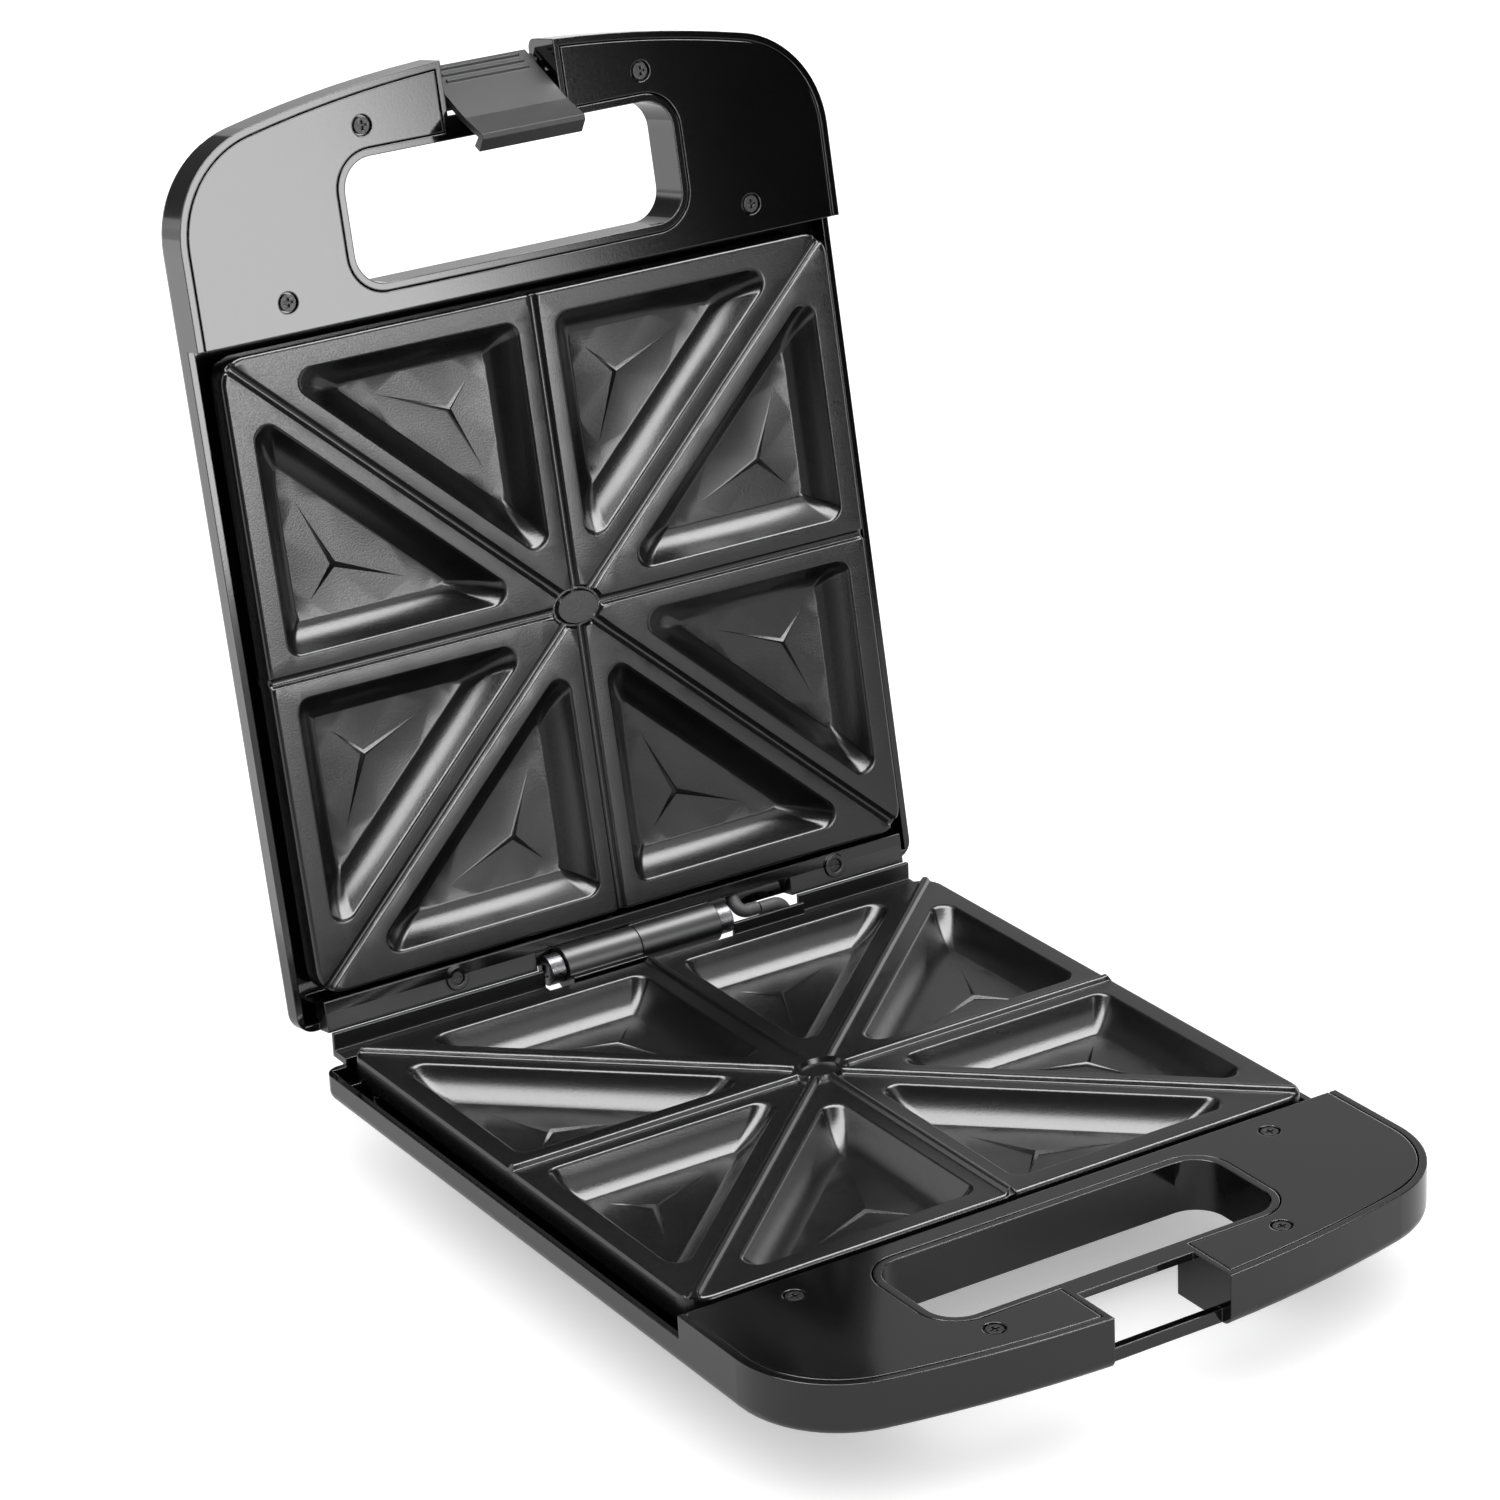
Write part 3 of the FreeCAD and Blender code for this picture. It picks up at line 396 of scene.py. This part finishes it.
def add_pocket(mesh, triangle):
    """One pocket: rounded lip, sloping walls, and a floor with a raised three-armed star. Returns its lip."""
    lip = inset(triangle, (BAND, RIM_MARGIN, BAND))
    rings = []
    for inward, deep in WALL:
        radius = max(LIP_RADIUS - inward * LIP_RADIUS_LOSS, SHARPEST_CORNER)
        shape = rounded(inset(lip, (inward,) * 3), radius)
        rings.append([(p.x, p.y, -deep) for p in shape])
    add_rings(mesh, rings)
    floor = [Vector(p[:2]) for p in rings[-1]]
    corners = inset(lip, (WALL[-1][0],) * 3)
    weights = [(corners[(i + 1) % 3] - corners[i - 1]).length for i in range(3)]
    middle = sum((corner * weight for corner, weight in zip(corners, weights)), Vector((0, 0))) / sum(weights)
    tips = [middle.lerp(corner, STAR_REACH) for corner in corners]
    star = []
    for i in range(3):
        star.append(tips[i])
        towards = ((tips[i] - middle).normalized() + (tips[(i + 1) % 3] - middle).normalized()).normalized()
        star.append(middle + towards * STAR_WAIST)
    points, faces = triangulated([floor, star], [])
    add_surface(mesh, points, faces, lambda p: -POCKET_DEEP,
                lambda p: inside(p, floor) and not inside(p, star), smooth=False)
    top = mesh.verts.new((middle.x, middle.y, -POCKET_DEEP + STAR_HIGH))
    foot = [mesh.verts.new((p.x, p.y, -POCKET_DEEP)) for p in star]
    for i in range(6):
        mesh.faces.new((foot[i], foot[(i + 1) % 6], top))
    return rounded(lip, LIP_RADIUS)


def plate_mesh(sign):
    """A plate in millimetres, food side up: ridges for sign 1 and matching grooves for sign -1."""
    mesh = bmesh.new()
    lips = [add_pocket(mesh, triangle) for triangle in sector_triangles()]
    outline = rim_points(EDGE[-1][0])
    reach = math.hypot(PLATE_HALF_X, PLATE_HALF_Y)
    lines = []
    for direction in ((1, 0), (0, 1), (PLATE_HALF_X, PLATE_HALF_Y), (PLATE_HALF_X, -PLATE_HALF_Y)):
        along = Vector(direction).normalized()
        across = Vector((-along.y, along.x))
        for offset, _ in SPOKE_PROFILE:
            for side in (1, -1):
                for end in (1, -1):
                    start = along * end * 2.0 + across * side * offset
                    stop = along * end * reach + across * side * offset
                    lines.append([start.lerp(stop, k / 24) for k in range(25)])
    turns = [2 * math.pi * k / 48 for k in range(48)]
    hubs = [
        [Vector((radius * math.cos(turn), radius * math.sin(turn) / HUB_FLATTEN)) for turn in turns]
        for radius, _ in HUB_RINGS + MOAT_RINGS
    ]
    points, faces = triangulated([outline, *lips, *hubs], lines)
    add_surface(mesh, points, faces, lambda p: sign * spoke_height(p),
                lambda p: inside(p, outline) and not any(inside(p, lip) for lip in lips))
    bmesh.ops.remove_doubles(mesh, verts=mesh.verts, dist=0.002)
    grow_skirt(mesh, outline)
    for face in mesh.faces:
        face.normal_update()
    if any(edge.is_manifold and not edge.is_contiguous for edge in mesh.edges):
        raise RuntimeError("the plate's faces don't all face the same way")
    return mesh


def grow_skirt(mesh, outline):
    """Grows the rounded edge and the turned-down skirt from the open rim."""
    rim = []
    for edge in mesh.edges:
        outside = all(not inside(Vector(vert.co.xy) * 1.002, outline) for vert in edge.verts)
        if edge.is_boundary and outside:
            rim.append(edge)
    for (low_out, low_down), (out, down) in zip(EDGE, EDGE[1:]):
        grown = bmesh.ops.extrude_edge_only(mesh, edges=rim)["geom"]
        for vert in (item for item in grown if isinstance(item, bmesh.types.BMVert)):
            x, y = PLATE_HALF_X - CORNER, PLATE_HALF_Y - CORNER
            away = Vector((max(abs(vert.co.x) - x, 0) * (1 if vert.co.x > 0 else -1),
                           max(abs(vert.co.y) - y, 0) * (1 if vert.co.y > 0 else -1)))
            away.normalize()
            vert.co.x += away.x * (out - low_out)
            vert.co.y += away.y * (out - low_out)
            vert.co.z = vert.co.z * 0.6 if vert.co.z > 0 and down < 1.0 else vert.co.z
            vert.co.z -= down - low_down
        rim = [item for item in grown if isinstance(item, bmesh.types.BMEdge)]


def add_plate(side, place, sign):
    """The pressed plate that stands for the CAD plate, with the pressing's own thickness."""
    mesh = plate_mesh(sign)
    data = bpy.data.meshes.new(f"{side}_plate_pressing")
    bmesh.ops.scale(mesh, vec=(MM, MM, MM), verts=mesh.verts)
    mesh.to_mesh(data)
    mesh.free()
    data.transform(place)
    made = bpy.data.objects.new(f"{side}_plate_pressing", data)
    bpy.context.scene.collection.objects.link(made)
    data.set_sharp_from_angle(angle=CREASE_ANGLE)
    thick = made.modifiers.new("thickness", "SOLIDIFY")
    thick.thickness = PRESSING_THICK
    thick.offset = -1
    made.modifiers.new("shading", "WEIGHTED_NORMAL").keep_sharp = True
    data.materials.append(MATERIALS["nonstick"])
    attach(made, side)
    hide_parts(f"{side}_plate")


add_plate("base", BASE_PLACE, 1)
add_plate("lid", LID_PLACE, -1)


# ---------------------------------------------------------------- studio

VIEW_AZIMUTH, VIEW_ELEVATION, VIEW_ROLL = -31.49, 22.21, -2.56
VIEW_FROM = Vector((-0.7706, -1.2223, 0.7496))
VIEW_LENS = 115.17
FLOOR_GLOW = 0.35


def add_floor():
    """A wide sheet of pale paper."""
    data = bpy.data.meshes.new("floor")
    mesh = bmesh.new()
    bmesh.ops.create_grid(mesh, x_segments=8, y_segments=8, size=30)
    mesh.to_mesh(data)
    mesh.free()
    made = bpy.data.objects.new("floor", data)
    bpy.context.scene.collection.objects.link(made)
    paper = surface("floor_paper", (0.87,) * 3, (0.89,) * 3, (0.8, 0.9), 60.0, 0.02, blotch=2.0)
    tree, links = paper.node_tree.nodes, paper.node_tree.links
    shader = tree["Principled BSDF"]
    shader.inputs["Specular IOR Level"].default_value = 0.1
    # a little overexposed to the camera, as white paper is in a studio
    ray, lift = tree.new("ShaderNodeLightPath"), tree.new("ShaderNodeMapRange")
    lift.inputs["To Max"].default_value = FLOOR_GLOW
    links.new(ray.outputs["Is Camera Ray"], lift.inputs["Value"])
    links.new(lift.outputs["Result"], shader.inputs["Emission Strength"])
    shader.inputs["Emission Color"].default_value = (1, 1, 1, 1)
    data.materials.append(paper)


def add_card(name, at, towards, wide, high, strength=0.0, spin=0.0, feather=0.0):
    """A card that shows only in reflections: it glows, fading over the feather at its sides, or is black."""
    data = bpy.data.meshes.new(name)
    mesh = bmesh.new()
    bmesh.ops.create_grid(mesh, x_segments=1, y_segments=1, size=0.5)
    mesh.to_mesh(data)
    mesh.free()
    made = bpy.data.objects.new(name, data)
    made.scale = (wide, high, 1)
    made.location = at
    aim = (Vector(towards) - Vector(at)).to_track_quat("Z", "Y")
    turn = Matrix.Rotation(math.radians(spin), 4, "Z").to_quaternion()
    made.rotation_euler = (aim @ turn).to_euler()
    bpy.context.scene.collection.objects.link(made)
    material, tree, links = new_material(name)
    tree.remove(tree["Principled BSDF"])
    glow = tree.new("ShaderNodeEmission")
    glow.inputs["Strength"].default_value = strength
    if feather:
        place = tree.new("ShaderNodeTexCoord")
        split = tree.new("ShaderNodeSeparateXYZ")
        away = tree.new("ShaderNodeMath")
        away.operation = "ABSOLUTE"
        links.new(place.outputs["Object"], split.inputs["Vector"])
        links.new(split.outputs["X"], away.inputs[0])
        fade = ramp(tree, links, away.outputs["Value"], 1.0, 0.0, 0.5 - feather, 0.5)
        links.new(fade, glow.inputs["Color"])
    else:
        glow.inputs["Color"].default_value = (1, 1, 1, 1)
    links.new(glow.outputs["Emission"], tree["Material Output"].inputs["Surface"])
    data.materials.append(material)
    made.visible_camera = False
    made.visible_diffuse = False
    made.visible_shadow = False


def add_world(soft, mirrored):
    """An even white dome that lights the scene with one strength and shows in mirrors with another."""
    world = bpy.data.worlds.new("studio")
    world.use_nodes = True
    tree, links = world.node_tree.nodes, world.node_tree.links
    tree["Background"].inputs["Color"].default_value = (1, 1, 1, 1)
    ray = tree.new("ShaderNodeLightPath")
    strength = tree.new("ShaderNodeMapRange")
    strength.inputs["To Min"].default_value = soft
    strength.inputs["To Max"].default_value = mirrored
    links.new(ray.outputs["Is Glossy Ray"], strength.inputs["Value"])
    links.new(strength.outputs["Result"], tree["Background"].inputs["Strength"])
    bpy.context.scene.world = world


def add_camera():
    """The camera, looking down at the open toaster from its front left, with a slight roll."""
    data = bpy.data.cameras.new("camera")
    data.lens = VIEW_LENS
    data.sensor_width = 36
    data.clip_end = 200
    made = bpy.data.objects.new("camera", data)
    a, e = math.radians(VIEW_AZIMUTH), math.radians(VIEW_ELEVATION)
    back = Vector((math.sin(a) * math.cos(e), -math.cos(a) * math.cos(e), math.sin(e)))
    level = (-back).to_track_quat("-Z", "Y")
    roll = Matrix.Rotation(math.radians(VIEW_ROLL), 4, "Z").to_quaternion()
    made.rotation_mode = "QUATERNION"
    made.rotation_quaternion = level @ roll
    made.location = VIEW_FROM
    bpy.context.scene.collection.objects.link(made)
    bpy.context.scene.camera = made


add_floor()
add_card("front_softbox", (0.57, -1.76, 0.62), (0, 0.15, 0.3), 0.78, 1.0, 12.5, spin=-16, feather=0.2)
add_card("front_flag", (1.5, -1.3, 0.5), (0, 0.15, 0.3), 1.1, 1.4)
add_card("front_fill", (1.0, -1.1, 1.5), (0, 0, 0.1), 0.9, 0.7, 2.5)
add_card("overhead_softbox", (0, 0, 1.7), (0, 0, 0.1), 3.4, 1.0, 18.0, feather=0.1)
add_card("back_sweep", (1.5, 2.0, 0.9), (0, 0, 0.1), 2.4, 1.8, 0.65)
add_card("right_sweep", (1.6, 0.5, 0.22), (0, 0, 0.1), 1.8, 0.44, 2.4)
add_card("left_flag", (-1.0, -0.45, 0.3), (0, 0.1, 0.3), 1.1, 0.62)
add_card("back_left_sweep", (-1.6, 1.2, 0.9), (0, 0.1, 0.3), 2.4, 1.6, 2.0)
add_card("left_floor_glow", (-0.95, 0.9, 0.002), (-0.95, 0.9, 1.0), 1.5, 2.0, 1.8)
add_world(1.3, 0.15)
add_camera()
bpy.context.scene.view_settings.view_transform = "Standard"
